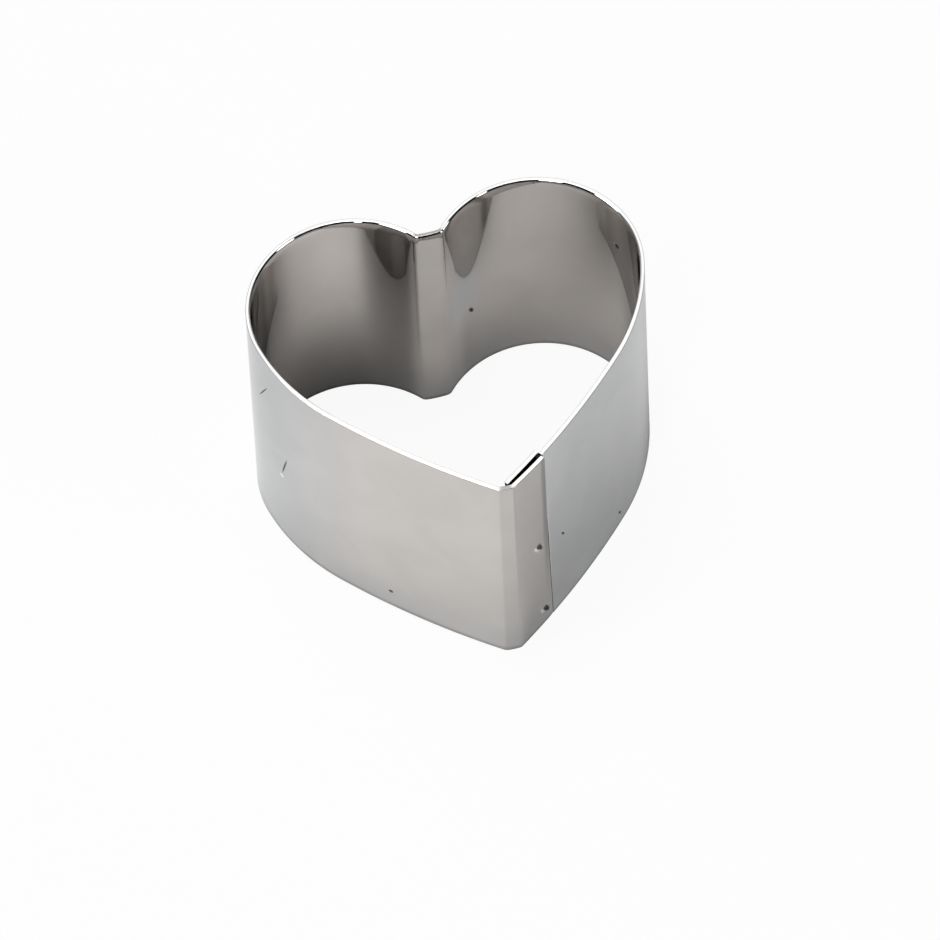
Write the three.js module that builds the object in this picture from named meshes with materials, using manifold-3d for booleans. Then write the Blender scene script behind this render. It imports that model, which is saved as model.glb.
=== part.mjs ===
// Heart-shaped cake ring: one polished stainless strip bent to a heart. Its ends lap at the tip, where one
// end wraps round the point as a flap over the other. The covered end is joggled, that is pressed in by about
// the sheet's thickness, so that the flap lies flush with the wall beside it. Two spot welds hold the lap, and
// above them its layers part.
// Millimetres, +Z up, the tip towards -Y, the origin on the floor under the middle of the ring.

import * as THREE from 'three';
import Module from 'manifold-3d';
import { mergeVertices } from 'three/addons/utils/BufferGeometryUtils.js';

// Driving dimensions of the heart. Radii are those of the strip's outer face.
const heartWidth = 69;
const heartDepth = 61.15;
const wallHeight = 50;
const sheetThickness = 0.8;
const edgeBreak = 0.15; // chamfer that takes the burr off the strip's long edges
const lobeRadius = 18.4;
const flankRadius = 38;
const flankDropDegrees = 12.5; // how far past the lobe's widest point its arc passes into the flank's
const sideRadius = 155;
const tipRoundRadius = 4.4; // of the circle that touches the tip's face and sets out the two sides
const tipFaceRadius = 12; // of the nearly flat face at the tip
const tipBendRadius = 2; // between the left side and the tip's face
const cleftDepth = 6.7; // from the tops of the lobes down to the cleft's face
const cleftFaceRadius = 20;
const cleftBendRadius = 0.6; // between the cleft's face and the lobes

// Driving dimensions of the lap at the tip.
const flapBendInside = 0.3; // inner radius of the bend between the tip's face and the flap
const flapLength = 8.1; // past that bend, at half height
const flapSlant = 0.9; // how much further the flap reaches at the floor than at the rim
const flapCornerRadius = 0.15;
const flapRimFlare = 0.35; // how far the flap's free end stands out at the rim
const lapInset = 0.2; // how far the right side lies inside the symmetric outline at the tip
const lapContactGap = 0.08; // between the two layers where the welds hold them
const lapRimGap = 0.45; // between the two layers at the rim by the tip, where nothing holds them
const joggleClearance = 0.08; // from the flap's free end to the step in the wall beside it
const joggleRun = 0.4; // length of that step
const coveredGap = 0.1; // from the start of the flap's bend back to the covered end
const coveredRimReach = 0.6; // how much further the covered end reaches at the rim

// Driving dimensions of the spot welds.
const lowerWeldHeight = 3.8;
const upperWeldHeight = 24.3;
const lowerWeldFromFreeEdge = 1.8;
const upperWeldFromFreeEdge = 2.6;
const weldDiameter = 1;
const weldSink = 0.25; // how far the weld's face lies below the flap's outer face
const weldDish = 0.06; // hollow in the middle of that face
const weldRoot = 0.3; // how far the weld reaches into the covered layer
const weldLip = 0.6; // width of the sloping dish that the electrode pressed round the weld
const weldClearance = 0.04;

// How finely the curves are divided.
const flapCornerSteps = 4;
const flapSteps = 4;
const flapBendSteps = 6;
const tipFaceSteps = 3;
const tipBendSteps = 6;
const joggleSteps = 5;
const coveredSteps = 4;
const sideSteps = 12;
const flankSteps = 8;
const lobeSteps = 38;
const cleftBendSteps = 6;
const cleftFaceSteps = 3;
const weldSegments = 24;

const polishedSteel = { color: 0xb9b6b2, roughness: 0.16, metalness: 1 };
const weldedSteel = { color: 0x8d8a85, roughness: 0.34, metalness: 1 };

const wasm = await Module();
wasm.setup();

const angleOf = (from, to) => Math.atan2(to.y - from.y, to.x - from.x);
const direction = (angle) => new THREE.Vector2(Math.cos(angle), Math.sin(angle));
const mirrored = (point) => new THREE.Vector2(-point.x, point.y);

// The point at one distance from a and another from b, on the left of the way from a to b.
function meetingPoint(a, distanceA, b, distanceB) {
  const span = a.distanceTo(b);
  const along = (span ** 2 + distanceA ** 2 - distanceB ** 2) / (2 * span);
  const aside = Math.sqrt(distanceA ** 2 - along ** 2);
  const forward = b.clone().sub(a).divideScalar(span);
  const left = new THREE.Vector2(-forward.y, forward.x);
  return a.clone().addScaledVector(forward, along).addScaledVector(left, aside);
}

// Centres of the arcs on the heart's right half. Each arc touches the next without a corner.
const flankStart = -THREE.MathUtils.degToRad(flankDropDegrees);
const flankShift = flankRadius - lobeRadius;
const lobeCentre = new THREE.Vector2(heartWidth / 2 - lobeRadius, 0);
const flankCentre = lobeCentre.clone().addScaledVector(direction(flankStart), -flankShift);
const sideToFlank = sideRadius - flankRadius;
const tipRoundCentre = new THREE.Vector2(0, lobeRadius - heartDepth + tipRoundRadius);
const sideToTipRound = sideRadius - tipRoundRadius;
const leftSideCentre = mirrored(meetingPoint(tipRoundCentre, sideToTipRound, flankCentre, sideToFlank));

// The cleft is a nearly flat face between two tight bends.
const cleftFaceCentre = new THREE.Vector2(0, lobeRadius - cleftDepth + cleftFaceRadius);
const lobeToCleftBend = lobeRadius + cleftBendRadius;
const cleftFaceToBend = cleftFaceRadius - cleftBendRadius;
const rightCleftCentre = meetingPoint(lobeCentre, lobeToCleftBend, cleftFaceCentre, cleftFaceToBend);
const leftCleftCentre = mirrored(rightCleftCentre);

// The right side lies a little inside the symmetric outline, and the covered end is pressed in under the flap.
function rightSideCentre(inset) {
  return meetingPoint(tipRoundCentre, sideToTipRound + inset, flankCentre, sideToFlank);
}
const flapCentre = rightSideCentre(lapInset);
const joggleDepth = sheetThickness + lapContactGap;
const coveredRadius = sideRadius - joggleDepth;

// The tip is a nearly flat face, with a soft bend to the left side and a sharp one to the flap.
const tipFaceCentre = new THREE.Vector2(0, lobeRadius - heartDepth + tipFaceRadius);
const tipFaceToBend = tipFaceRadius - tipBendRadius;
const tipBendCentre = meetingPoint(leftSideCentre, sideRadius - tipBendRadius, tipFaceCentre, tipFaceToBend);
const flapBendRadius = sheetThickness + flapBendInside;
const tipFaceToFlapBend = tipFaceRadius - flapBendRadius;
const flapBendCentre = meetingPoint(tipFaceCentre, tipFaceToFlapBend, flapCentre, sideRadius - flapBendRadius);
const flapBase = angleOf(flapCentre, flapBendCentre);
const flapLengthAt = (height) => flapLength + flapSlant * (0.5 - height / wallHeight);

// Above the upper weld the layers part, most at the rim: the right wall leans in and the flap turns out.
const partingShare = (height) => {
  const share = (height - upperWeldHeight) / (wallHeight - upperWeldHeight);
  return THREE.MathUtils.clamp(share, 0, 1);
};
const rightWallInset = (height) => lapInset + (lapRimGap - lapContactGap) * partingShare(height);
const flapTurn = (height) => -(flapRimFlare / flapLength) * partingShare(height);

// One place along the strip: a point on its outer face and the way from there into the sheet.
function station(centre, radius, angle, bulge = 1) {
  const outward = direction(angle);
  return {
    face: centre.clone().addScaledVector(outward, radius),
    inward: outward.multiplyScalar(-bulge),
    cornerRise: 0,
  };
}

// Places along an arc, without its last point, which the next arc starts with.
function arcStations(centre, radius, start, end, steps, bulge = 1) {
  const angles = Array.from({ length: steps }, (_, step) => THREE.MathUtils.lerp(start, end, step / steps));
  return angles.map((angle) => station(centre, radius, angle, bulge));
}

// A place on the flap, at a distance past its bend.
function flapStation(height, pastBend) {
  const turn = flapTurn(height);
  const centre = flapCentre.clone().rotateAround(flapBendCentre, turn);
  return station(centre, sideRadius, flapBase + turn + pastBend / sideRadius);
}

// The flap from its free end to its bend. The corners of the free end are quarter circles.
function flapStations(height) {
  const length = flapLengthAt(height);
  const corner = Array.from({ length: flapCornerSteps }, (_, step) => {
    const turn = (step / flapCornerSteps) * (Math.PI / 2);
    const place = flapStation(height, length - flapCornerRadius * (1 - Math.cos(turn)));
    place.cornerRise = flapCornerRadius * (1 - Math.sin(turn));
    return place;
  });
  const straight = Array.from({ length: flapSteps }, (_, step) => {
    return flapStation(height, (length - flapCornerRadius) * (1 - step / flapSteps));
  });
  return [...corner, ...straight];
}

// The step beside the flap's free end, in which the wall is pressed in to pass under the flap.
function joggleStations(centre, start, end) {
  return Array.from({ length: joggleSteps }, (_, step) => {
    const share = step / joggleSteps;
    const sink = joggleDepth * THREE.MathUtils.smoothstep(share, 0, 1);
    return station(centre, sideRadius - sink, THREE.MathUtils.lerp(start, end, share));
  });
}

// The cleft between the lobes, which curves the other way from the rest of the strip.
function cleftStations(leftLobeEnd, rightLobeStart) {
  const faceStart = angleOf(cleftFaceCentre, leftCleftCentre);
  const faceEnd = angleOf(cleftFaceCentre, rightCleftCentre);
  return [
    ...arcStations(leftCleftCentre, cleftBendRadius, leftLobeEnd - Math.PI, faceStart, cleftBendSteps, -1),
    ...arcStations(cleftFaceCentre, cleftFaceRadius, faceStart, faceEnd, cleftFaceSteps, -1),
    ...arcStations(rightCleftCentre, cleftBendRadius, faceEnd, rightLobeStart - Math.PI, cleftBendSteps, -1),
  ];
}

// The whole strip at one height: flap, tip, left half, cleft, right half, joggle, covered end.
function stripStations(height) {
  const tipFaceStart = angleOf(tipFaceCentre, flapBendCentre);
  const tipFaceEnd = angleOf(tipFaceCentre, tipBendCentre);
  const leftSideStart = angleOf(leftSideCentre, tipBendCentre);
  const leftLobe = mirrored(lobeCentre);
  const leftFlank = mirrored(flankCentre);
  const leftFlankStart = angleOf(leftSideCentre, leftFlank);
  const leftLobeStart = -Math.PI - flankStart;
  const leftLobeEnd = angleOf(leftLobe, leftCleftCentre);
  const rightLobeStart = angleOf(lobeCentre, rightCleftCentre);

  const sideCentre = rightSideCentre(rightWallInset(height));
  const sideStart = angleOf(sideCentre, flankCentre);
  const flapStart = angleOf(sideCentre, flapBendCentre);
  const joggleEnd = flapStart + (flapLengthAt(height) + joggleClearance) / sideRadius;
  const joggleStart = joggleEnd + joggleRun / sideRadius;
  const coveredEnd = flapStart + (coveredGap - coveredRimReach * partingShare(height)) / sideRadius;

  return [
    ...flapStations(height),
    ...arcStations(flapBendCentre, flapBendRadius, flapBase + flapTurn(height), tipFaceStart, flapBendSteps),
    ...arcStations(tipFaceCentre, tipFaceRadius, tipFaceStart, tipFaceEnd, tipFaceSteps),
    ...arcStations(tipBendCentre, tipBendRadius, tipFaceEnd, leftSideStart, tipBendSteps),
    ...arcStations(leftSideCentre, sideRadius, leftSideStart, leftFlankStart, sideSteps),
    ...arcStations(leftFlank, flankRadius, leftFlankStart, leftLobeStart, flankSteps),
    ...arcStations(leftLobe, lobeRadius, leftLobeStart, leftLobeEnd - 2 * Math.PI, lobeSteps),
    ...cleftStations(leftLobeEnd, rightLobeStart),
    ...arcStations(lobeCentre, lobeRadius, rightLobeStart, flankStart, lobeSteps),
    ...arcStations(flankCentre, flankRadius, flankStart, sideStart, flankSteps),
    ...arcStations(sideCentre, sideRadius, sideStart, joggleStart, sideSteps),
    ...joggleStations(sideCentre, joggleStart, joggleEnd),
    ...arcStations(sideCentre, coveredRadius, joggleEnd, coveredEnd, coveredSteps),
    station(sideCentre, coveredRadius, coveredEnd),
  ];
}

// The strip's cross-sections, one at each place: up the outer face, over the rim and down the inner face.
function stripSections() {
  const levels = [
    { height: 0, depth: edgeBreak, rise: 1 },
    { height: edgeBreak, depth: 0, rise: 1 },
    { height: upperWeldHeight, depth: 0, rise: 0 },
    { height: wallHeight - edgeBreak, depth: 0, rise: -1 },
    { height: wallHeight, depth: edgeBreak, rise: -1 },
  ];
  const rows = levels.map((level) => stripStations(level.height));
  const corner = (row, index, depth) => {
    const place = rows[row][index];
    const point = place.face.clone().addScaledVector(place.inward, depth);
    return new THREE.Vector3(point.x, point.y, levels[row].height + levels[row].rise * place.cornerRise);
  };
  return rows[0].map((_, index) => {
    const outer = levels.map((level, row) => corner(row, index, level.depth));
    const inner = levels.map((level, row) => corner(row, index, sheetThickness - level.depth));
    return [...outer, ...inner.reverse()];
  });
}

// A closed body through equal loops of points. Each loop runs up one side of the sheet and down the other.
function loft(sections) {
  const count = sections[0].length;
  const last = sections.length - 1;
  const triangles = [];
  const quad = (a, b, c, d) => triangles.push(a, b, c, a, c, d);
  for (let row = 0; row < last; row += 1) {
    for (let k = 0; k < count; k += 1) {
      const next = (k + 1) % count;
      quad(row * count + k, row * count + next, (row + 1) * count + next, (row + 1) * count + k);
    }
  }
  for (let k = 0; k < count / 2 - 1; k += 1) {
    const across = count - 1 - k;
    quad(k, across, across - 1, k + 1);
    quad(last * count + k, last * count + k + 1, last * count + across - 1, last * count + across);
  }
  const geometry = new THREE.BufferGeometry();
  const coordinates = sections.flat().flatMap((point) => point.toArray());
  geometry.setAttribute('position', new THREE.Float32BufferAttribute(coordinates, 3));
  geometry.setIndex(triangles);
  return geometry;
}

function solidOf(geometry) {
  const bare = geometry.clone();
  bare.deleteAttribute('normal');
  bare.deleteAttribute('uv');
  const merged = mergeVertices(bare, 1e-4);
  const vertProperties = new Float32Array(merged.attributes.position.array);
  const triVerts = new Uint32Array(merged.index.array);
  return new wasm.Manifold(new wasm.Mesh({ numProp: 3, vertProperties, triVerts }));
}

function geometryOf(solid) {
  const mesh = solid.getMesh();
  const geometry = new THREE.BufferGeometry();
  geometry.setAttribute('position', new THREE.BufferAttribute(new Float32Array(mesh.vertProperties), 3));
  geometry.setIndex(new THREE.BufferAttribute(new Uint32Array(mesh.triVerts), 1));
  geometry.computeVertexNormals();
  return geometry;
}

// A weld is turned about an axis square to the flap, with zero at the flap's outer face and plus outwards.
const weldDepth = sheetThickness + lapContactGap + weldRoot;
const weldRadius = weldDiameter / 2;

function weldPlugGeometry() {
  const profile = [
    new THREE.Vector2(0, -weldDepth),
    new THREE.Vector2(weldRadius, -weldDepth),
    new THREE.Vector2(weldRadius, -weldSink),
    new THREE.Vector2(weldRadius / 2, -weldSink - weldDish),
    new THREE.Vector2(0, -weldSink - weldDish),
  ];
  return new THREE.LatheGeometry(profile, weldSegments);
}

function weldSeatGeometry() {
  const seatRadius = weldRadius + weldClearance;
  const lipRadius = seatRadius + weldLip;
  const profile = [
    new THREE.Vector2(0, -weldDepth - weldClearance),
    new THREE.Vector2(seatRadius, -weldDepth - weldClearance),
    new THREE.Vector2(seatRadius, -weldSink),
    new THREE.Vector2(lipRadius, 0),
    new THREE.Vector2(lipRadius, sheetThickness),
    new THREE.Vector2(0, sheetThickness),
  ];
  return new THREE.LatheGeometry(profile, weldSegments);
}

function placeWeld(object, { height, fromFreeEdge }) {
  const { face, inward } = flapStation(height, flapLengthAt(height) - fromFreeEdge);
  const outward = new THREE.Vector3(-inward.x, -inward.y, 0);
  object.position.set(face.x, face.y, height);
  object.quaternion.setFromUnitVectors(new THREE.Vector3(0, 1, 0), outward);
  object.updateMatrix();
  return object;
}

function bandGeometry(welds) {
  const seats = welds.map((weld) => {
    const place = placeWeld(new THREE.Object3D(), weld);
    return solidOf(weldSeatGeometry().applyMatrix4(place.matrix));
  });
  const strip = solidOf(loft(stripSections()));
  return geometryOf(seats.reduce((solid, seat) => solid.subtract(seat), strip));
}

function namedMesh(name, geometry, look) {
  const mesh = new THREE.Mesh(geometry, new THREE.MeshStandardMaterial(look));
  mesh.name = name;
  return mesh;
}

const lowerWeld = { height: lowerWeldHeight, fromFreeEdge: lowerWeldFromFreeEdge };
const upperWeld = { height: upperWeldHeight, fromFreeEdge: upperWeldFromFreeEdge };

const ring = new THREE.Group();
ring.add(namedMesh('heart_band', bandGeometry([lowerWeld, upperWeld]), polishedSteel));
ring.add(placeWeld(namedMesh('spot_weld_lower', weldPlugGeometry(), weldedSteel), lowerWeld));
ring.add(placeWeld(namedMesh('spot_weld_upper', weldPlugGeometry(), weldedSteel), upperWeld));

const middle = new THREE.Box3().setFromObject(ring).getCenter(new THREE.Vector3());
ring.position.set(-middle.x, -middle.y, 0);

export default ring;
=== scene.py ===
"""Looks of the heart-shaped cake ring: a polished stainless strip, lapped and spot-welded at the tip."""

import math

import bpy
import numpy as np
from mathutils import Matrix, Vector


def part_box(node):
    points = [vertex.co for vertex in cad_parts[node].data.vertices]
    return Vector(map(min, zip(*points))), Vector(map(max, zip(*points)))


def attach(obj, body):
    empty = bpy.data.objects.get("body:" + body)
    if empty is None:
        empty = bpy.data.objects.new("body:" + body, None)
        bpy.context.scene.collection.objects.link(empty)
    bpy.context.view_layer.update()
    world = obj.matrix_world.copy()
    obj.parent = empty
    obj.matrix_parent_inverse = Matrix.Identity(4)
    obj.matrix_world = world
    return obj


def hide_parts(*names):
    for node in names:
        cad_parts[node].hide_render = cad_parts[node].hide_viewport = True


MM = 0.001

# The heart's outline, the same arcs as the solid strip. Radii are those of the strip's outer face.
HEART_WIDTH = 69 * MM
HEART_DEPTH = 61.15 * MM
WALL_HEIGHT = 50 * MM
SHEET = 0.8 * MM
LOBE_RADIUS = 18.4 * MM
FLANK_RADIUS = 38 * MM
FLANK_START = -math.radians(12.5)
SIDE_RADIUS = 155 * MM
TIP_ROUND_RADIUS = 4.4 * MM
TIP_FACE_RADIUS = 12 * MM
TIP_BEND_RADIUS = 2 * MM
CLEFT_DEPTH = 6.7 * MM
CLEFT_FACE_RADIUS = 20 * MM
CLEFT_BEND_RADIUS = 0.6 * MM
EDGE_ROUNDING = 0.08 * MM
FRONT_RIM_BREAK = 0.035 * MM
BACK_RIM_BREAK = 0.26 * MM
RIM_FLAT_START = 0.04 * MM
BREAK_FLATNESS = 1.5
BREAK_FADE_START = -25 * MM
BREAK_FADE_END = -5 * MM

# The lap at the tip: a flap on the outside, and the strip's other end pressed in to lie under it.
FLAP_BEND_RADIUS = 1.1 * MM
FLAP_LENGTH = 8.1 * MM
FLAP_SLANT = 0.9 * MM
FLAP_CORNER_RADIUS = 0.15 * MM
FLAP_RIM_FLARE = 0.35 * MM
LAP_INSET = 0.2 * MM
LAP_CONTACT_GAP = 0.08 * MM
LAP_RIM_GAP = 0.45 * MM
JOGGLE_CLEARANCE = 0.01 * MM
JOGGLE_RUN = 0.06 * MM
COVERED_GAP = 0.1 * MM
COVERED_RIM_REACH = 0.6 * MM
ROLLOVER_RUN = 1.2 * MM
ROLLOVER_DEPTH = 0.06 * MM

# The spot welds, each with its height and its distance from the flap's free edge, and their dimples.
WELDS = {"lower": (3.8 * MM, 1.8 * MM), "upper": (24.3 * MM, 2.6 * MM)}
WELD_RADIUS = 0.5 * MM
WELD_SINK = 0.14 * MM
WELD_DISH = 0.05 * MM
WELD_DEPTH = 1.1 * MM
DIMPLE_RADIUS = 1.3 * MM
DIMPLE_DEPTH = 0.24 * MM

# How finely the strip is divided.
FLAP_STEPS = 56
FLAP_BEND_STEPS = 16
TIP_FACE_STEPS = 10
TIP_BEND_STEPS = 16
SIDE_STEPS = 70
JOGGLE_STEPS = 10
COVERED_STEPS = 16
FLANK_STEPS = 40
LOBE_STEPS = 130
CLEFT_BEND_STEPS = 14
CLEFT_FACE_STEPS = 16
WALL_LEVELS = 26
CORNER_LEVELS = 8
ROUNDING_STEPS = 4
BREAK_STEPS = 6
DIMPLE_LEVELS = 24
WELD_SEGMENTS = 40

# The inner face's texture coordinates start this far along, past the end of the outer face's.
INNER_FACE_START = 300 * MM

# Marks of handling: place along the texture coordinates, height, half length and half width in millimetres,
# and turn in degrees.
DARK_MARKS = {
    "scratch near the left rim": (61.3, 39.2, 4.4, 0.2, 118),
    "scratch on the left flank": (55.7, 22.9, 3.8, 0.26, 106),
    "speck near the lower edge": (33.1, 4.5, 0.6, 0.5, 0),
    "speck beside the flap": (204.2, 20.5, 0.9, 0.35, 62),
    "speck on the right flank": (186.2, 3.4, 0.9, 0.4, 62),
    "speck inside the right lobe": (452.6, 39.1, 0.8, 0.7, 0),
    "speck inside, by the cleft": (422.6, 17.8, 1.2, 0.5, -67),
}
PALE_MARKS = {"nick at the scratch's end": (56.7, 19.0, 0.7, 0.6, 0)}

# The welds' marks, ovals that lean towards the free edge: half length and half width in millimetres, and turn
# in degrees. A dark oval lies on each weld, and a pale one beside and above it, offset also in millimetres.
WELD_DARK_OVAL = (1.75, 0.66, 62)
WELD_PALE_OVAL = (1.6, 0.55, 62)
PALE_OVAL_BESIDE = 0.95
PALE_OVAL_ABOVE = 0.25
PALE_OVAL_SHARE = 0.7

# Tones by which the steel's tint is multiplied, and the places along the strip where they change.
FLAP_CREASE = 8.75 * MM
# Painted shade on the flap, darker from its foot to its rim.
FLAP_FOOT_PAINTED_SHADE = 0.9
FLAP_RIM_PAINTED_SHADE = 0.69
TIP_FACE_END = 11.2 * MM
# Painted shade on the tip's face.
TIP_FACE_PAINTED_SHADE = 0.9
# Painted shade in a band beside the flap's free edge, darker higher up.
FREE_EDGE_PAINTED_SHADE = 0.6
FREE_EDGE_SHADE_RUN = 1.8 * MM
# Painted shade along the strip's lower edge.
LOWER_EDGE_PAINTED_SHADE = 0.62
LOWER_EDGE_SHADE_RISE = 1.3 * MM
# Painted shade in the lap, on the covered end's outer face and the flap's inner face.
LAP_PAINTED_SHADE = 0.1
MARK_TONE = 0.1
SMUDGE_TONES = (0.97, 1.02)
COVERED_START = 209.2 * MM
RIM_START = WALL_HEIGHT - 0.06 * MM

# Relief in the inner face's shading, which turns the reflections beside the cleft: each wall dives towards a
# bend, then hollows beside it. A dive has the distances from the bend of its start and end, and its depth.
CLEFT_BENDS = (111.4 * MM, 115.9 * MM)
LEFT_DIVE = (11 * MM, 0.3 * MM, 1.6 * MM)
RIGHT_DIVE = (12.5 * MM, 3.4 * MM, 0.85 * MM)
LEFT_HOLLOW_REACH = 1.8 * MM
LEFT_HOLLOW_DEPTH = 0.15 * MM
RIGHT_HOLLOW_REACH = 3.2 * MM
RIGHT_HOLLOW_DEPTH = 0.52 * MM

# Painted light and shade of the inner face, from its foot to its rim, and where they change along the texture
# coordinates.
INNER_PAINTED_SHADE_AND_LIGHT = (0.85, 1.1)
LEFT_FLANK_PAINTED_SHADE = 0.58
LEFT_LOBE_PAINTED_SHADE_AND_LIGHT = (0.9, 1.26)
CLEFT_PAINTED_LIGHT = (1.36, 1.0)
RIGHT_FLANK_PAINTED_SHADE = 0.45
COOL_PATCH_PAINTED_LIGHT = 1.12
LEFT_FLANK_INSIDE = (370 * MM, 380.5 * MM)
LEFT_LOBE_INSIDE = (386 * MM, 402 * MM)
CLEFT_INSIDE = (410 * MM, 420 * MM)
RIGHT_FLANK_INSIDE = (455 * MM, 463 * MM)
COOL_PATCH_ALONG = (417 * MM, 424 * MM)
COOL_PATCH_HEIGHT = (17 * MM, 32 * MM)

# Tints of the steel. A painted reflection turns the outside's from warm to cool along the left side,
# and makes a wall's foot cooler.
COOL_START = 34 * MM
COOL_END = 58 * MM
WARM_STEEL = (0.67, 0.64, 0.615, 1)
COOL_PAINTED_REFLECTION = (0.59, 0.595, 0.6, 1)
COOL_FOOT = (12 * MM, 2 * MM)
COOL_FOOT_SHARE = 0.6
BARE_STEEL = (0.98, 0.98, 0.97, 1)
DULLED_STEEL = (0.36, 0.35, 0.34, 1)
DARK_SCALE = (0.045, 0.04, 0.035, 1)
PALE_SCALE = (0.13, 0.105, 0.085, 1)

# How rough the steel is, least and most where there are two values.
POLISH_ROUGHNESS = (0.04, 0.09)
ROLLING_ROUGHNESS = 0.03
MARK_ROUGHNESS = 0.4
NICK_ROUGHNESS = 0.5
DULLED_ROUGHNESS = 0.4
SCALE_ROUGHNESS = (0.3, 0.5)

# Fineness of the patterns, as repeats in a metre, and depth of their relief.
ROLLING_FINENESS = (40, 1600, 1)
SMUDGE_FINENESS = 95.0
WAVE_FINENESS = 42.0
SCALE_FINENESS = 2500.0
ROLLING_DEPTH = 0.002 * MM
WAVE_DEPTH = 0.08 * MM
SCRATCH_DEPTH = 0.08 * MM
SCALE_DEPTH = 0.02 * MM

# The view: the camera's direction, turn, distance and lens, and how far it is moved aside.
CAMERA_AZIMUTH = math.radians(-12.016)
CAMERA_ELEVATION = math.radians(56.681)
CAMERA_ROLL = math.radians(-2.88)
CAMERA_DISTANCE = 2.5
CAMERA_LENS_MM = 557.7
CAMERA_SENSOR_MM = 36
CAMERA_ASIDE = Vector((3.562 * MM, -17.471 * MM))

# The floor: how much of its own shading gives way to plain white, for the camera and in reflections, and its
# colour and half width in metres.
WHITE_TO_CAMERA = 0.93
WHITE_IN_REFLECTIONS = 0.02
FLOOR_WHITE = (0.9, 0.9, 0.9, 1)
FLOOR_REACH = 4.0

# Round softboxes, aimed at the ring: azimuth from +X towards +Y and elevation in degrees, size in metres and
# power in watts.
SOFTBOXES = {
    "front softbox": (240, 45, 0.6, 10.8),
    "left softbox": (185, 30, 0.8, 12.4),
    "right softbox": (320, 30, 0.6, 7),
    "overhead softbox": (110, 76, 1.1, 14.5),
    "rim softbox": (78, 57, 0.7, 2),
}
SOFTBOX_DISTANCE = 2.0

# The surround: light of the room in front and of the low backdrop behind, and how far the backdrop reaches
# round and up, as parts of a direction.
SURROUND_LEVEL = 0.9
ROOM_SHADE = 0.02
BACKDROP_SPREAD = (-0.2, 0.6)
BACKDROP_TOP = (0.3, 0.55)
ABOVE_BACKDROP = 0.1


def direction(angle):
    return np.array([math.cos(angle), math.sin(angle)])


def angle_of(start, end):
    return math.atan2(end[1] - start[1], end[0] - start[0])


def mirrored(point):
    return np.array([-point[0], point[1]])


def smooth(share):
    return share**2 * (3 - 2 * share)


def meeting_point(a, distance_a, b, distance_b):
    """The point at one distance from a and another from b, on the left of the way from a to b."""
    span = np.linalg.norm(b - a)
    along = (span**2 + distance_a**2 - distance_b**2) / (2 * span)
    aside = math.sqrt(distance_a**2 - along**2)
    forward = (b - a) / span
    left = np.array([-forward[1], forward[0]])
    return a + along * forward + aside * left


# Centres of the arcs. Each arc touches the next without a corner.
FLANK_SHIFT = FLANK_RADIUS - LOBE_RADIUS
LOBE_CENTRE = np.array([HEART_WIDTH / 2 - LOBE_RADIUS, 0.0])
FLANK_CENTRE = LOBE_CENTRE - FLANK_SHIFT * direction(FLANK_START)
SIDE_TO_FLANK = SIDE_RADIUS - FLANK_RADIUS
TIP_ROUND_CENTRE = np.array([0.0, LOBE_RADIUS - HEART_DEPTH + TIP_ROUND_RADIUS])
SIDE_TO_TIP_ROUND = SIDE_RADIUS - TIP_ROUND_RADIUS
LEFT_SIDE_CENTRE = mirrored(meeting_point(TIP_ROUND_CENTRE, SIDE_TO_TIP_ROUND, FLANK_CENTRE, SIDE_TO_FLANK))

# The cleft is a nearly flat face between two tight bends.
CLEFT_FACE_CENTRE = np.array([0.0, LOBE_RADIUS - CLEFT_DEPTH + CLEFT_FACE_RADIUS])
LOBE_TO_CLEFT_BEND = LOBE_RADIUS + CLEFT_BEND_RADIUS
CLEFT_FACE_TO_BEND = CLEFT_FACE_RADIUS - CLEFT_BEND_RADIUS
RIGHT_CLEFT_CENTRE = meeting_point(LOBE_CENTRE, LOBE_TO_CLEFT_BEND, CLEFT_FACE_CENTRE, CLEFT_FACE_TO_BEND)
LEFT_CLEFT_CENTRE = mirrored(RIGHT_CLEFT_CENTRE)


def right_side_centre(inset):
    return meeting_point(TIP_ROUND_CENTRE, SIDE_TO_TIP_ROUND + inset, FLANK_CENTRE, SIDE_TO_FLANK)


FLAP_CENTRE = right_side_centre(LAP_INSET)
JOGGLE_DEPTH = SHEET + LAP_CONTACT_GAP
COVERED_RADIUS = SIDE_RADIUS - JOGGLE_DEPTH

# The tip is a nearly flat face, with a soft bend to the left side and a sharp one to the flap.
TIP_FACE_CENTRE = np.array([0.0, LOBE_RADIUS - HEART_DEPTH + TIP_FACE_RADIUS])
TIP_FACE_TO_BEND = TIP_FACE_RADIUS - TIP_BEND_RADIUS
TIP_FACE_TO_FLAP_BEND = TIP_FACE_RADIUS - FLAP_BEND_RADIUS
FLAP_TO_BEND = SIDE_RADIUS - FLAP_BEND_RADIUS
TIP_BEND_CENTRE = meeting_point(
    LEFT_SIDE_CENTRE, SIDE_RADIUS - TIP_BEND_RADIUS, TIP_FACE_CENTRE, TIP_FACE_TO_BEND
)
FLAP_BEND_CENTRE = meeting_point(TIP_FACE_CENTRE, TIP_FACE_TO_FLAP_BEND, FLAP_CENTRE, FLAP_TO_BEND)
FLAP_BASE = angle_of(FLAP_CENTRE, FLAP_BEND_CENTRE)


def parting_share(height):
    """How far, from 0 to 1, the covered end has parted from the flap above the upper weld."""
    weld_height = WELDS["upper"][0]
    return min(max((height - weld_height) / (WALL_HEIGHT - weld_height), 0), 1)


def flap_arc(height):
    """Centre and first angle of the flap, which turns out about the centre of its bend as the layers part."""
    turn = -FLAP_RIM_FLARE / FLAP_LENGTH * parting_share(height)
    cosine, sine = direction(turn)
    rotation = np.array([[cosine, -sine], [sine, cosine]])
    return FLAP_BEND_CENTRE + rotation @ (FLAP_CENTRE - FLAP_BEND_CENTRE), FLAP_BASE + turn


def flap_length(height):
    return FLAP_LENGTH + FLAP_SLANT * (0.5 - height / WALL_HEIGHT)


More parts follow.
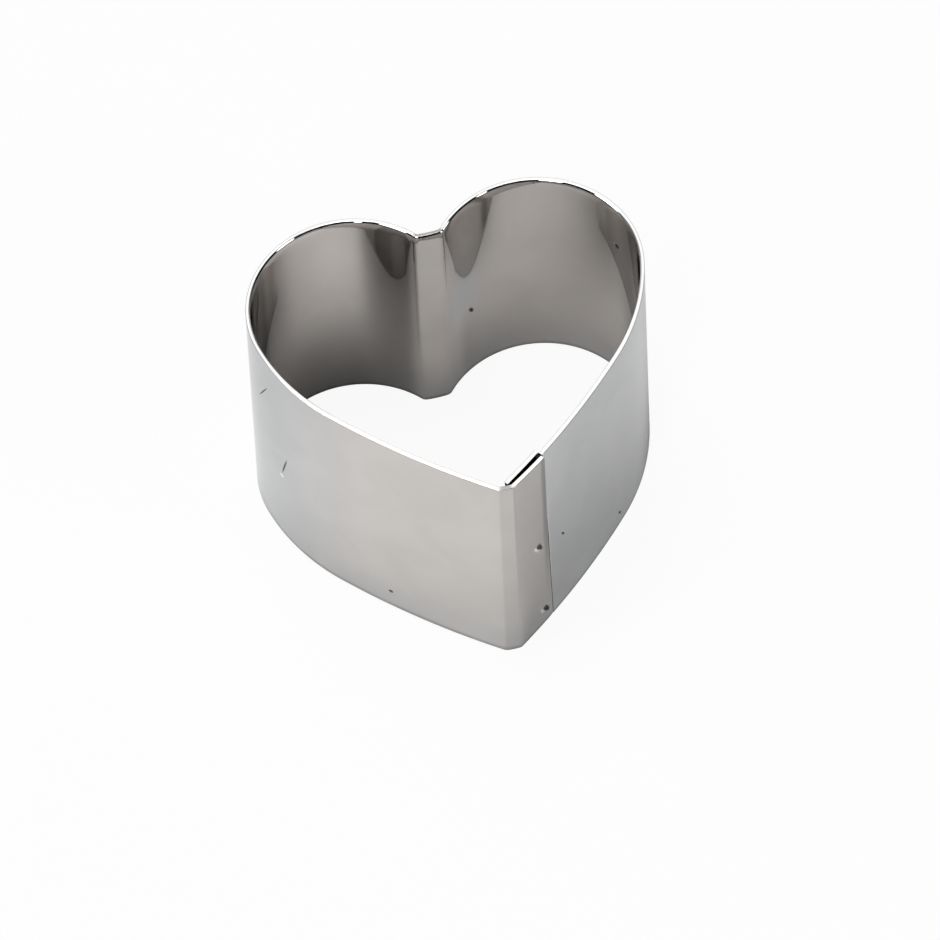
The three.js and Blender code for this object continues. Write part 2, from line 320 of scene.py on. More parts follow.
def flap_corner_cut(height):
    """How much the rounded corners of the flap's free end take off its length at a height."""
    from_edge = min(height, WALL_HEIGHT - height)
    if from_edge >= FLAP_CORNER_RADIUS:
        return 0.0
    return FLAP_CORNER_RADIUS - math.sqrt(FLAP_CORNER_RADIUS**2 - (FLAP_CORNER_RADIUS - from_edge) ** 2)


def arc(centre, radius, start, end, steps, bulge=1):
    """Places along an arc without its last one: points on the outer face and the way into the sheet."""
    angles = start + (end - start) * np.arange(steps) / steps
    outward = np.stack([np.cos(angles), np.sin(angles)], axis=1)
    return centre + radius * outward, -bulge * outward


def joggle(centre, start, end):
    """The step beside the flap's free end, in which the wall is pressed in to pass under the flap."""
    shares = np.arange(JOGGLE_STEPS) / JOGGLE_STEPS
    angles = start + (end - start) * shares
    outward = np.stack([np.cos(angles), np.sin(angles)], axis=1)
    radii = SIDE_RADIUS - JOGGLE_DEPTH * smooth(shares)
    return centre + radii[:, None] * outward, -outward


def end_rounding():
    """Pairs of distance from a free end and inset of the sheet's faces, along a quarter circle."""
    turns = np.linspace(0, math.pi / 2, ROUNDING_STEPS, endpoint=False)
    return [(EDGE_ROUNDING * (1 - math.cos(t)), EDGE_ROUNDING * (1 - math.sin(t))) for t in turns]


def flap_run(height):
    """Distances past the flap's bend of the places along the flap, from its free end."""
    free_end = flap_length(height) - flap_corner_cut(height)
    run = [free_end - back for back, _ in end_rounding()]
    run += list(np.linspace(free_end - EDGE_ROUNDING, 0, FLAP_STEPS, endpoint=False))
    return np.array(run)


def strip_line(height):
    """The whole strip at one height, from the flap's free end round to the covered end."""
    flap_centre, flap_base = flap_arc(height)
    flap_angles = flap_base + flap_run(height) / SIDE_RADIUS
    flap_outward = np.stack([np.cos(flap_angles), np.sin(flap_angles)], axis=1)
    flap = (flap_centre + SIDE_RADIUS * flap_outward, -flap_outward)

    tip_start = angle_of(TIP_FACE_CENTRE, FLAP_BEND_CENTRE)
    tip_end = angle_of(TIP_FACE_CENTRE, TIP_BEND_CENTRE)
    left_start = angle_of(LEFT_SIDE_CENTRE, TIP_BEND_CENTRE)
    left_lobe = mirrored(LOBE_CENTRE)
    left_flank = mirrored(FLANK_CENTRE)
    left_flank_start = angle_of(LEFT_SIDE_CENTRE, left_flank)
    left_lobe_start = -math.pi - FLANK_START
    left_lobe_end = angle_of(left_lobe, LEFT_CLEFT_CENTRE)
    cleft_start = angle_of(CLEFT_FACE_CENTRE, LEFT_CLEFT_CENTRE)
    cleft_end = angle_of(CLEFT_FACE_CENTRE, RIGHT_CLEFT_CENTRE)
    right_lobe_start = angle_of(LOBE_CENTRE, RIGHT_CLEFT_CENTRE)
    cleft_bend_start = left_lobe_end - math.pi
    cleft_bend_end = right_lobe_start - math.pi

    parting = parting_share(height)
    side_centre = right_side_centre(LAP_INSET + (LAP_RIM_GAP - LAP_CONTACT_GAP) * parting)
    side_start = angle_of(side_centre, FLANK_CENTRE)
    flap_start = angle_of(side_centre, FLAP_BEND_CENTRE)
    joggle_end = flap_start + (flap_length(height) + JOGGLE_CLEARANCE) / SIDE_RADIUS
    joggle_start = joggle_end + JOGGLE_RUN / SIDE_RADIUS
    covered_end = flap_start + (COVERED_GAP - COVERED_RIM_REACH * parting) / SIDE_RADIUS
    covered_face = covered_end + EDGE_ROUNDING / SIDE_RADIUS

    stretches = [
        flap,
        arc(FLAP_BEND_CENTRE, FLAP_BEND_RADIUS, flap_base, tip_start, FLAP_BEND_STEPS),
        arc(TIP_FACE_CENTRE, TIP_FACE_RADIUS, tip_start, tip_end, TIP_FACE_STEPS),
        arc(TIP_BEND_CENTRE, TIP_BEND_RADIUS, tip_end, left_start, TIP_BEND_STEPS),
        arc(LEFT_SIDE_CENTRE, SIDE_RADIUS, left_start, left_flank_start, SIDE_STEPS),
        arc(left_flank, FLANK_RADIUS, left_flank_start, left_lobe_start, FLANK_STEPS),
        arc(left_lobe, LOBE_RADIUS, left_lobe_start, left_lobe_end - 2 * math.pi, LOBE_STEPS),
        arc(LEFT_CLEFT_CENTRE, CLEFT_BEND_RADIUS, cleft_bend_start, cleft_start, CLEFT_BEND_STEPS, -1),
        arc(CLEFT_FACE_CENTRE, CLEFT_FACE_RADIUS, cleft_start, cleft_end, CLEFT_FACE_STEPS, -1),
        arc(RIGHT_CLEFT_CENTRE, CLEFT_BEND_RADIUS, cleft_end, cleft_bend_end, CLEFT_BEND_STEPS, -1),
        arc(LOBE_CENTRE, LOBE_RADIUS, right_lobe_start, FLANK_START, LOBE_STEPS),
        arc(FLANK_CENTRE, FLANK_RADIUS, FLANK_START, side_start, FLANK_STEPS),
        arc(side_centre, SIDE_RADIUS, side_start, joggle_start, SIDE_STEPS),
        joggle(side_centre, joggle_start, joggle_end),
        arc(side_centre, COVERED_RADIUS, joggle_end, covered_face, COVERED_STEPS),
    ]
    for back, _ in reversed(end_rounding()):
        angle = covered_end + back / SIDE_RADIUS
        stretches.append(arc(side_centre, COVERED_RADIUS, angle, angle, 1))
    faces = np.concatenate([face for face, _ in stretches])
    inward = np.concatenate([way for _, way in stretches])
    return faces, inward


def end_insets(count):
    """How far the sheet's faces draw in at each place along the strip, to round its two ends."""
    insets = np.zeros(count)
    rounding = [inset for _, inset in end_rounding()]
    insets[: len(rounding)] = rounding
    insets[count - len(rounding) :] = rounding[::-1]
    return insets


def wall_heights(fine):
    """Heights up a face of the strip, close together at the rounded corners and, if fine, at the dimples."""
    low = EDGE_ROUNDING
    high = WALL_HEIGHT - EDGE_ROUNDING
    heights = set(np.linspace(low, high, WALL_LEVELS))
    for step in range(1, CORNER_LEVELS):
        rise = FLAP_CORNER_RADIUS * (1 - math.cos(step / CORNER_LEVELS * math.pi / 2))
        heights.update((low + rise, high - rise))
    if fine:
        for height, _ in WELDS.values():
            heights.update(np.linspace(height - DIMPLE_RADIUS, height + DIMPLE_RADIUS, DIMPLE_LEVELS))
    return sorted(heights)


def section_loop(inner_break):
    """The strip's cross-section as pairs of depth and height: up outside, over the rim and down inside."""
    rounding = np.linspace(0, math.pi / 2, ROUNDING_STEPS + 1)[1:-1]
    corner = [(EDGE_ROUNDING * (1 - math.cos(t)), EDGE_ROUNDING * math.sin(t)) for t in rounding]
    top = WALL_HEIGHT - EDGE_ROUNDING
    loop = [(0.0, height) for height in wall_heights(True)]
    loop += [(depth, top + rise) for depth, rise in corner]
    loop += [(EDGE_ROUNDING, WALL_HEIGHT), (EDGE_ROUNDING + RIM_FLAT_START, WALL_HEIGHT)]
    loop.append((SHEET - inner_break - RIM_FLAT_START, WALL_HEIGHT))
    for turn in np.linspace(math.pi / 2, 0, BREAK_STEPS + 1):
        across = inner_break * (1 - abs(math.cos(turn)) ** BREAK_FLATNESS)
        down = inner_break * (1 - abs(math.sin(turn)) ** BREAK_FLATNESS)
        loop.append((SHEET - across, WALL_HEIGHT - down))
    below = WALL_HEIGHT - 1.05 * BACK_RIM_BREAK
    loop += [(SHEET, height) for height in reversed(wall_heights(False)) if height < below]
    loop += [(SHEET - depth, EDGE_ROUNDING - rise) for depth, rise in corner]
    loop += [(SHEET - EDGE_ROUNDING, 0.0), (EDGE_ROUNDING, 0.0)]
    loop += [(depth, EDGE_ROUNDING - rise) for depth, rise in reversed(corner)]
    return loop


def rollover(height, count):
    """How far the flap's outer face draws in towards its free end, where shears rolled the edge over."""
    sink = np.zeros(count)
    run = flap_run(height)
    from_end = run[0] - run
    sink[: len(run)] = ROLLOVER_DEPTH * np.clip(1 - from_end / ROLLOVER_RUN, 0, 1) ** 2
    return sink


def weld_place(height, from_free_edge):
    """A weld's place on the flap's outer face and the way out of it, in plan."""
    centre, base = flap_arc(height)
    outward = direction(base + (flap_length(height) - from_free_edge) / SIDE_RADIUS)
    return centre + SIDE_RADIUS * outward, outward


def press_dimples(points, flap_count):
    """Sinks the electrode's dimples into the flap's outer face. points is indexed by place, then height."""
    for height, from_free_edge in WELDS.values():
        place, outward = weld_place(height, from_free_edge)
        along = np.array([-outward[1], outward[0]])
        flap = points[:flap_count]
        across = (flap[..., :2] - place) @ along
        distance = np.hypot(across, flap[..., 2] - height)
        dish = np.clip(1 - (distance / DIMPLE_RADIUS) ** 2, 0, 1) ** 2
        flap[..., :2] -= DIMPLE_DEPTH * dish[..., None] * outward
    return points


def loop_points(inner_break):
    """The strip's surface without its dimples, with one break along the whole rim's inner edge."""
    columns = []
    for depth, height in section_loop(inner_break):
        faces, inward = strip_line(height)
        insets = end_insets(len(faces))
        depths = insets + (SHEET - 2 * insets) * depth / SHEET
        depths += rollover(height, len(faces)) * (1 - depth / SHEET)
        plan = faces + depths[:, None] * inward
        columns.append(np.column_stack([plan, np.full(len(plan), height)]))
    return np.stack(columns, axis=1)


def strip_points():
    """Points of the strip's surface, indexed by place along it and place round its cross-section."""
    sharp = loop_points(FRONT_RIM_BREAK)
    broken = loop_points(BACK_RIM_BREAK)
    backward = (sharp[:, :1, 1:2] - BREAK_FADE_START) / (BREAK_FADE_END - BREAK_FADE_START)
    points = sharp + smooth(np.clip(backward, 0, 1)) * (broken - sharp)
    outer = len(wall_heights(True))
    points[:, :outer] = press_dimples(points[:, :outer].copy(), FLAP_STEPS + ROUNDING_STEPS)
    return points


def plan_shift():
    """From the arcs' frame, with the lobes' centres on its x axis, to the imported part's frame."""
    _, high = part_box("heart_band")
    return Vector((0, high.y - LOBE_RADIUS, 0))


def make_object(name, vertices, faces):
    mesh = bpy.data.meshes.new(name)
    mesh.from_pydata(vertices, [], faces)
    mesh.validate()
    mesh.shade_smooth()
    piece = bpy.data.objects.new(name, mesh)
    bpy.context.scene.collection.objects.link(piece)
    return piece


def map_strip(piece, points):
    """Texture coordinates in metres: the way along the strip and the height, apart for the two faces."""
    around = points.shape[1]
    outer = len(wall_heights(True))
    run = np.linalg.norm(np.diff(points[:, outer // 2, :2], axis=0), axis=1)
    along = np.concatenate([[0], np.cumsum(run)])
    # The inner face starts with the break of the rim's inner edge, past the rim's rounding and its flat.
    inner_start = outer + ROUNDING_STEPS + 2
    layer = piece.data.uv_layers.new(name="strip")
    for face in piece.data.polygons:
        corners = [piece.data.loops[k].vertex_index for k in face.loop_indices]
        inside = min(corner % around for corner in corners) >= inner_start
        start = INNER_FACE_START if inside else 0.0
        for k, corner in zip(face.loop_indices, corners):
            height = points[corner // around, corner % around, 2]
            layer.data[k].uv = (start + along[corner // around], height)


def make_band(material):
    """The strip as one closed surface."""
    points = strip_points()
    places, around = points.shape[:2]
    vertices = (points + np.array(plan_shift())).reshape(-1, 3)
    faces = []
    for place in range(places - 1):
        for k in range(around):
            following = (k + 1) % around
            corners = (place, k), (place, following), (place + 1, following), (place + 1, k)
            faces.append([p * around + q for p, q in corners])
    first = list(range(around))
    last = [(places - 1) * around + k for k in range(around)]
    faces.append(first[::-1])
    faces.append(last)
    piece = make_object("band_sheet", vertices.tolist(), faces)
    map_strip(piece, points)
    piece.data.materials.append(material)
    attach(piece, "root")
    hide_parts("heart_band")


def make_weld(name, height, from_free_edge, material):
    """The weld's face at the bottom of its dimple, on a plug that goes down into the sheet."""
    profile = [
        (0.0, -WELD_SINK - WELD_DISH),
        (0.4 * WELD_RADIUS, -WELD_SINK - 0.8 * WELD_DISH),
        (0.8 * WELD_RADIUS, -WELD_SINK - 0.2 * WELD_DISH),
        (0.95 * WELD_RADIUS, -WELD_SINK),
        (WELD_RADIUS, -WELD_SINK - 0.4 * WELD_DISH),
        (WELD_RADIUS, -WELD_DEPTH),
        (0.0, -WELD_DEPTH),
    ]
    place, outward = weld_place(height, from_free_edge)
    origin = Vector((place[0], place[1], height)) + plan_shift()
    out = Vector((outward[0], outward[1], 0))
    up = Vector((0, 0, 1))
    side = up.cross(out)
    vertices = [origin + profile[0][1] * out]
    for radius, depth in profile[1:-1]:
        for k in range(WELD_SEGMENTS):
            turn = 2 * math.pi * k / WELD_SEGMENTS
            vertices.append(origin + depth * out + radius * (math.cos(turn) * side + math.sin(turn) * up))
    vertices.append(origin + profile[-1][1] * out)
    rings = len(profile) - 2
    faces = []
    for k in range(WELD_SEGMENTS):
        following = (k + 1) % WELD_SEGMENTS
        faces.append((0, 1 + k, 1 + following))
        for ring in range(rings - 1):
            near = 1 + ring * WELD_SEGMENTS
            far = near + WELD_SEGMENTS
            faces.append((near + k, far + k, far + following, near + following))
        start = 1 + (rings - 1) * WELD_SEGMENTS
        faces.append((start + k, len(vertices) - 1, start + following))
    piece = make_object(f"weld_face_{name}", vertices, faces)
    piece.data.materials.append(material)
    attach(piece, "root")
    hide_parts(f"spot_weld_{name}")


def new_material(name):
    material = bpy.data.materials.new(name)
    material.use_nodes = True
    tree = material.node_tree
    return material, tree, tree.nodes["Principled BSDF"]


def add_node(tree, kind, sockets, **settings):
    """Adds a node. A socket is given a value, or another node's output, which is linked to it."""
    node = tree.nodes.new(kind)
    for name, value in settings.items():
        setattr(node, name, value)
    for name, value in sockets.items():
        if isinstance(value, bpy.types.NodeSocket):
            tree.links.new(value, node.inputs[name])
        else:
            node.inputs[name].default_value = value
    return node


def ramp(tree, value, start, end, low=0.0, high=1.0):
    """A smooth change from low to high as the value goes from start to end."""
    ends = {"From Min": start, "From Max": end, "To Min": low, "To Max": high}
    shade = add_node(tree, "ShaderNodeMapRange", {"Value": value, **ends}, interpolation_type="SMOOTHSTEP")
    return shade.outputs["Result"]


def maths(tree, operation, first, second):
    return add_node(tree, "ShaderNodeMath", {0: first, 1: second}, operation=operation).outputs[0]


def blend(tree, share, first, second, blend_type="MIX"):
    sockets = {0: share, 6: first, 7: second}
    return add_node(tree, "ShaderNodeMix", sockets, data_type="RGBA", blend_type=blend_type).outputs[2]


def noise(tree, places, scale, detail, distortion=0.0):
    sockets = {"Vector": places, "Scale": scale, "Detail": detail, "Distortion": distortion}
    return add_node(tree, "ShaderNodeTexNoise", sockets).outputs[0]


def raised(tree, height, distance, strength, below=None):
    """Small relief on the surface, on top of another relief if one is given."""
    sockets = {"Height": height, "Distance": distance, "Strength": strength}
    if below is not None:
        sockets["Normal"] = below
    return add_node(tree, "ShaderNodeBump", sockets).outputs["Normal"]


def spots(tree, strip, marks):
    """A mask of ovals on the strip: 1 in the middle of each, fading to 0 at its outline."""
    mask = None
    for along, height, half_length, half_width, turn in marks:
        oval = {
            "Vector": strip,
            "Location": (along * MM, height * MM, 0),
            "Rotation": (0, 0, math.radians(turn)),
            "Scale": (half_length * MM, half_width * MM, 1),
        }
        inside = add_node(tree, "ShaderNodeMapping", oval, vector_type="TEXTURE").outputs["Vector"]
        gradient = add_node(tree, "ShaderNodeTexGradient", {"Vector": inside}, gradient_type="SPHERICAL")
        fade = gradient.outputs[1]
        mask = fade if mask is None else maths(tree, "MAXIMUM", mask, fade)
    return mask


def weld_marks(shape, beside=0.0, above=0.0):
    """One oval at each weld, written like the marks of handling."""
    places = [(from_edge / MM + beside, height / MM + above) for height, from_edge in WELDS.values()]
    return [(*place, *shape) for place in places]


def window(tree, value, start, end, blur):
    """1 between start and end, 0 elsewhere."""
    rise = ramp(tree, value, start - blur, start + blur)
    fall = ramp(tree, value, end + blur, end - blur)
    return maths(tree, "MULTIPLY", rise, fall)


def toned(tree, mask, tone):
    """A tone where the mask is 1, and no change where it is 0."""
    return ramp(tree, mask, 0.0, 1.0, 1.0, tone)


def painted_cool_reflection(tree, along, height):
    """A mask of a painted bluish reflection on the inner face, on the right of the cleft."""
    across = window(tree, along, *COOL_PATCH_ALONG, 3 * MM)
    return maths(tree, "MULTIPLY", across, window(tree, height, *COOL_PATCH_HEIGHT, 5 * MM))


def inner_face_painted_light_and_shade(tree, along, height):
    """Painted light and shade inside: bright in the left lobe, pale low at the cleft, dark on the flanks."""
    tone = ramp(tree, height, 0.05 * WALL_HEIGHT, 0.55 * WALL_HEIGHT, *INNER_PAINTED_SHADE_AND_LIGHT)
    painted_lobe_light_and_shade = ramp(tree, height, 0.15 * WALL_HEIGHT, 0.6 * WALL_HEIGHT, *LEFT_LOBE_PAINTED_SHADE_AND_LIGHT)
    painted_cleft_light = ramp(tree, height, 0.15 * WALL_HEIGHT, 0.5 * WALL_HEIGHT, *CLEFT_PAINTED_LIGHT)
    for part in (
        toned(tree, window(tree, along, *LEFT_FLANK_INSIDE, 1.5 * MM), LEFT_FLANK_PAINTED_SHADE),
        toned(tree, window(tree, along, *LEFT_LOBE_INSIDE, 4 * MM), painted_lobe_light_and_shade),
        toned(tree, window(tree, along, *CLEFT_INSIDE, 2.5 * MM), painted_cleft_light),
        toned(tree, window(tree, along, *RIGHT_FLANK_INSIDE, 4.5 * MM), RIGHT_FLANK_PAINTED_SHADE),
        # Painted light in the bluish reflection on the right of the cleft.
        toned(tree, painted_cool_reflection(tree, along, height), COOL_PATCH_PAINTED_LIGHT),
    ):
        tone = maths(tree, "MULTIPLY", tone, part)
    return tone


def steel_tones_with_painted_shade(tree, along, height, smudges, dark):
    """How far the steel's tint is lightened or darkened: painted shade on the flap, its tip, edges and in the
    lap, painted light and shade inside, and the smudges' and marks' own tones.
    """
    inside = maths(tree, "GREATER_THAN", along, INNER_FACE_START)
    below_rim = maths(tree, "LESS_THAN", height, RIM_START)
    # Painted shade: the flap darker towards its rim.
    painted_flap_shade = ramp(tree, height, 0.1 * WALL_HEIGHT, 0.9 * WALL_HEIGHT, FLAP_FOOT_PAINTED_SHADE, FLAP_RIM_PAINTED_SHADE)
    flap = ramp(tree, along, FLAP_CREASE - 0.15 * MM, FLAP_CREASE + 0.15 * MM, painted_flap_shade, 1.0)
    # Painted shade in a band by the flap's free edge, darker higher up.
    painted_edge_shade = ramp(tree, height, 0.05 * WALL_HEIGHT, 0.6 * WALL_HEIGHT, 1.0, FREE_EDGE_PAINTED_SHADE)
    free_edge = ramp(tree, along, 0.45 * FREE_EDGE_SHADE_RUN, FREE_EDGE_SHADE_RUN, painted_edge_shade, 1.0)
    # Painted shade in the lap between the flap and the covered end, below the rim.
    lapped = window(tree, along, COVERED_START, INNER_FACE_START + FLAP_LENGTH, 0.05 * MM)
    shade = ramp(tree, smudges, 0.3, 0.7, *SMUDGE_TONES)
    for part in (
        toned(tree, below_rim, flap),
        toned(tree, below_rim, free_edge),
        # Painted shade on the tip's face.
        toned(tree, window(tree, along, FLAP_CREASE, TIP_FACE_END, 0.3 * MM), TIP_FACE_PAINTED_SHADE),
        # Painted shade along the lower edge.
        ramp(tree, height, 0.0, LOWER_EDGE_SHADE_RISE, LOWER_EDGE_PAINTED_SHADE, 1.0),
        # Painted light and shade on the inner face.
        toned(tree, inside, inner_face_painted_light_and_shade(tree, along, height)),
        toned(tree, maths(tree, "MULTIPLY", lapped, below_rim), LAP_PAINTED_SHADE),
        ramp(tree, dark, 0.0, 0.5, 1.0, MARK_TONE),
    ):
        shade = maths(tree, "MULTIPLY", shade, part)
    return shade


def dulled_rim(tree, along, height):
    """A mask of the rim at the tip's face and at the cleft, where it is darker and rougher."""
    at_tip = window(tree, along, FLAP_CREASE, TIP_FACE_END, 0.8 * MM)
    at_cleft = window(tree, along, *CLEFT_BENDS, 0.3 * MM)
    bends = maths(tree, "MAXIMUM", at_tip, at_cleft)
    return maths(tree, "MULTIPLY", bends, maths(tree, "GREATER_THAN", height, RIM_START))


def hollow(tree, along, bend, start, depth):
    """Relief that falls ever more steeply from its start down to a bend, in millimetres."""
    ends = {"From Min": start, "From Max": bend, "To Max": math.sqrt(depth / MM)}
    share = add_node(tree, "ShaderNodeMapRange", {"Value": along, **ends}).outputs["Result"]
    return maths(tree, "MULTIPLY", share, share)


def cleft_relief(tree, along):
    """Relief in the shading of the inner face beside the cleft, which turns the reflections there."""
    left, right = [INNER_FACE_START + bend for bend in CLEFT_BENDS]
    start, end, depth = LEFT_DIVE
    left_dive = ramp(tree, along, left - start, left - end, 0.0, depth / MM)
    start, end, depth = RIGHT_DIVE
    right_dive = ramp(tree, along, right + start, right + end, 0.0, depth / MM)
    height = maths(tree, "ADD", left_dive, right_dive)
    left_hollow = hollow(tree, along, left, left - LEFT_HOLLOW_REACH, LEFT_HOLLOW_DEPTH)
    right_hollow = hollow(tree, along, right, right + RIGHT_HOLLOW_REACH, RIGHT_HOLLOW_DEPTH)
    height = maths(tree, "SUBTRACT", height, left_hollow)
    height = maths(tree, "SUBTRACT", height, right_hollow)
    return raised(tree, height, 1.0 * MM, 1.0)


def polished_steel():
    """Bright rolled sheet with faint rolling lines, smudges, slow waves and marks of handling."""
    material, tree, shader = new_material("polished stainless")
    strip = add_node(tree, "ShaderNodeUVMap", {}, uv_map="strip").outputs["UV"]
    parts = add_node(tree, "ShaderNodeSeparateXYZ", {"Vector": strip}).outputs
    along = parts["X"]
    height = parts["Y"]
    rolling = add_node(tree, "ShaderNodeMapping", {"Vector": strip, "Scale": ROLLING_FINENESS})
    lines = noise(tree, rolling.outputs["Vector"], 1.0, 3)
    smudges = noise(tree, strip, SMUDGE_FINENESS, 4, 0.6)
    waves = noise(tree, strip, WAVE_FINENESS, 1)
    scratches = spots(tree, strip, DARK_MARKS.values())
    dark = maths(tree, "MAXIMUM", scratches, spots(tree, strip, weld_marks(WELD_DARK_OVAL)))
    nicks = spots(tree, strip, PALE_MARKS.values())
    pale_oval = spots(tree, strip, weld_marks(WELD_PALE_OVAL, PALE_OVAL_BESIDE, PALE_OVAL_ABOVE))
    pale = maths(tree, "MAXIMUM", nicks, maths(tree, "MULTIPLY", pale_oval, PALE_OVAL_SHARE))
    dulled = dulled_rim(tree, along, height)

    outside = maths(tree, "LESS_THAN", along, INNER_FACE_START)
    # Painted reflection: cooler along the left side outside, at the walls' feet and inside right of the
    # cleft.
    cool = maths(tree, "MULTIPLY", ramp(tree, along, COOL_START, COOL_END), outside)
    cool = maths(tree, "MAXIMUM", cool, ramp(tree, height, *COOL_FOOT, 0.0, COOL_FOOT_SHARE))
    cool = maths(tree, "MAXIMUM", cool, painted_cool_reflection(tree, along, height))
    colour = blend(tree, cool, WARM_STEEL, COOL_PAINTED_REFLECTION)
    # The tint multiplied by painted shade and light, and by the smudges' and marks' own tones.
    shade = steel_tones_with_painted_shade(tree, along, height, smudges, dark)
    colour = blend(tree, 1.0, colour, shade, "MULTIPLY")
    colour = blend(tree, ramp(tree, pale, 0.0, 0.6), colour, BARE_STEEL)
    colour = blend(tree, dulled, colour, DULLED_STEEL)
    tree.links.new(colour, shader.inputs["Base Color"])

    rough = ramp(tree, smudges, 0.3, 0.75, *POLISH_ROUGHNESS)
    rough = maths(tree, "ADD", rough, ramp(tree, lines, 0.4, 0.8, 0.0, ROLLING_ROUGHNESS))
    rough = maths(tree, "MAXIMUM", rough, ramp(tree, dark, 0.0, 0.7, 0.0, MARK_ROUGHNESS))
    rough = maths(tree, "MAXIMUM", rough, ramp(tree, pale, 0.0, 0.6, 0.0, NICK_ROUGHNESS))
    rough = maths(tree, "MAXIMUM", rough, ramp(tree, dulled, 0.0, 1.0, 0.0, DULLED_ROUGHNESS))
    tree.links.new(rough, shader.inputs["Roughness"])
    shader.inputs["Metallic"].default_value = 1

    relief = raised(tree, waves, WAVE_DEPTH, 1.0, cleft_relief(tree, along))
    relief = raised(tree, lines, ROLLING_DEPTH, 1.0, relief)
    relief = raised(tree, maths(tree, "MULTIPLY", scratches, -1.0), SCRATCH_DEPTH, 1.0, relief)
    tree.links.new(relief, shader.inputs["Normal"])
    return material


def weld_steel():
    """The dulled, heat-darkened face that the electrode leaves, mottled with scale."""
    material, tree, shader = new_material("spot weld")
    places = add_node(tree, "ShaderNodeTexCoord", {}).outputs["Object"]
    scale = noise(tree, places, SCALE_FINENESS, 3)
    colour = blend(tree, ramp(tree, scale, 0.35, 0.7), DARK_SCALE, PALE_SCALE)
    tree.links.new(colour, shader.inputs["Base Color"])
    tree.links.new(ramp(tree, scale, 0.3, 0.7, *SCALE_ROUGHNESS), shader.inputs["Roughness"])
    tree.links.new(raised(tree, scale, SCALE_DEPTH, 0.6), shader.inputs["Normal"])
    shader.inputs["Metallic"].default_value = 1
    return material


def pale_floor():
    """A white surface that keeps the ring's shadow, but shows the camera mostly plain white."""
    material, tree, shader = new_material("pale floor")
    shader.inputs["Base Color"].default_value = FLOOR_WHITE
    shader.inputs["Roughness"].default_value = 0.9
    shader.inputs["Specular IOR Level"].default_value = 0
    rays = add_node(tree, "ShaderNodeLightPath", {}).outputs
    mirrored_rays = maths(tree, "ADD", rays["Is Glossy Ray"], rays["Is Transmission Ray"])
    seen_in_mirrors = maths(tree, "MULTIPLY", mirrored_rays, WHITE_IN_REFLECTIONS)
    seen_by_camera = maths(tree, "MULTIPLY", rays["Is Camera Ray"], WHITE_TO_CAMERA)
    share = maths(tree, "ADD", seen_by_camera, seen_in_mirrors)
    glow = add_node(tree, "ShaderNodeEmission", {"Strength": 1.0})
    shaders = {0: share, 1: shader.outputs[0], 2: glow.outputs[0]}
    mix = add_node(tree, "ShaderNodeMixShader", shaders)
    tree.links.new(mix.outputs[0], tree.nodes["Material Output"].inputs["Surface"])
    return material


def make_floor():
    reach = FLOOR_REACH
    corners = [(-reach, -reach, 0), (reach, -reach, 0), (reach, reach, 0), (-reach, reach, 0)]
    floor = make_object("floor", corners, [(0, 1, 2, 3)])
    floor.data.materials.append(pale_floor())


def aim(thing, place, target):
    thing.location = place
    thing.rotation_euler = (Vector(target) - Vector(place)).to_track_quat("-Z", "Y").to_euler()


def add_lamp(name, azimuth, elevation, size, power):
    """A round softbox, aimed at the ring."""
    lamp = bpy.data.lights.new(name, "AREA")
    lamp.shape = "DISK"
    lamp.size = size
    lamp.energy = power
    thing = bpy.data.objects.new(name, lamp)
    bpy.context.scene.collection.objects.link(thing)
    level = direction(math.radians(azimuth)) * math.cos(math.radians(elevation))
    place = SOFTBOX_DISTANCE * Vector((level[0], level[1], math.sin(math.radians(elevation))))
    aim(thing, place, (0, 0, 0))


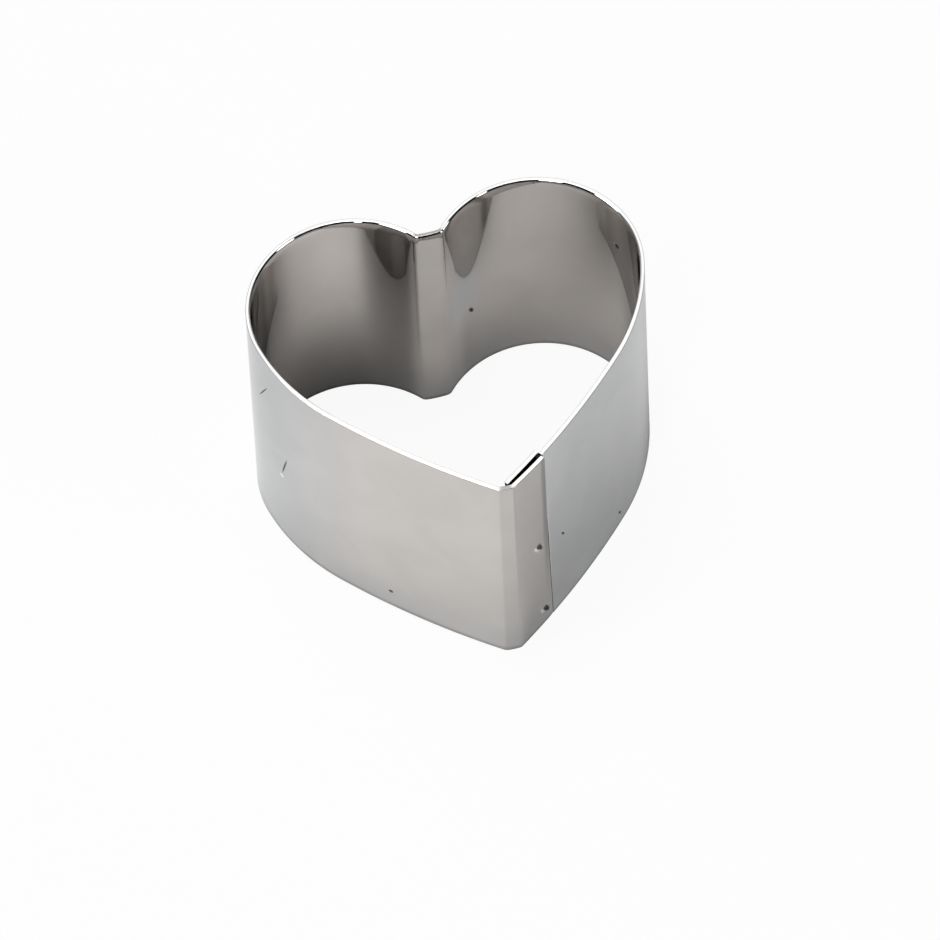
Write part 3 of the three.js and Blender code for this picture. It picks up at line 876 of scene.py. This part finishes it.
def make_surround():
    """The studio round the ring: a low pale backdrop behind it, and a dim room in front."""
    world = bpy.data.worlds.new("studio")
    world.use_nodes = True
    bpy.context.scene.world = world
    tree = world.node_tree
    way = add_node(tree, "ShaderNodeTexCoord", {}).outputs["Generated"]
    parts = add_node(tree, "ShaderNodeSeparateXYZ", {"Vector": way}).outputs
    behind = ramp(tree, parts["Y"], *BACKDROP_SPREAD)
    low = ramp(tree, parts["Z"], *BACKDROP_TOP, 1.0, ABOVE_BACKDROP)
    shade = ramp(tree, maths(tree, "MULTIPLY", behind, low), 0.0, 1.0, ROOM_SHADE, 1.0)
    background = tree.nodes["Background"]
    tree.links.new(shade, background.inputs["Color"])
    background.inputs["Strength"].default_value = SURROUND_LEVEL


def light_the_stage():
    for name, (azimuth, elevation, size, power) in SOFTBOXES.items():
        add_lamp(name, azimuth, elevation, size, power)
    make_surround()


def add_camera():
    azimuth = CAMERA_AZIMUTH
    back = Vector((math.sin(azimuth), -math.cos(azimuth), math.tan(CAMERA_ELEVATION))).normalized()
    level = Vector((math.cos(azimuth), math.sin(azimuth), 0))
    rise = back.cross(level)
    right = math.cos(CAMERA_ROLL) * level + math.sin(CAMERA_ROLL) * rise
    up = math.cos(CAMERA_ROLL) * rise - math.sin(CAMERA_ROLL) * level
    target = plan_shift() + Vector((0, 0, WALL_HEIGHT / 2))
    eye = target + CAMERA_DISTANCE * back + CAMERA_ASIDE.x * right + CAMERA_ASIDE.y * up
    camera = bpy.data.cameras.new("camera")
    camera.lens = CAMERA_LENS_MM
    camera.sensor_width = CAMERA_SENSOR_MM
    camera.clip_end = 100
    thing = bpy.data.objects.new("camera", camera)
    bpy.context.scene.collection.objects.link(thing)
    turn = Matrix((right, up, back)).transposed().to_4x4()
    thing.matrix_world = Matrix.Translation(eye) @ turn
    bpy.context.scene.camera = thing


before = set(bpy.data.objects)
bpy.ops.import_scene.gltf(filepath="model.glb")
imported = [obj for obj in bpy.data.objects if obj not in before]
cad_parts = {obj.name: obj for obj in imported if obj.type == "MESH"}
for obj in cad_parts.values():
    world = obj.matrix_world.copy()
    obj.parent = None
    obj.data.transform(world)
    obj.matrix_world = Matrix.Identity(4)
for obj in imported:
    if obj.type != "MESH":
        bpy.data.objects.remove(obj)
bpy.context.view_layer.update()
bpy.context.scene.view_settings.view_transform = "Standard"

add_camera()
make_band(polished_steel())
weld_material = weld_steel()
for weld_name, (weld_height, weld_from_free_edge) in WELDS.items():
    make_weld(weld_name, weld_height, weld_from_free_edge, weld_material)
make_floor()
light_the_stage()
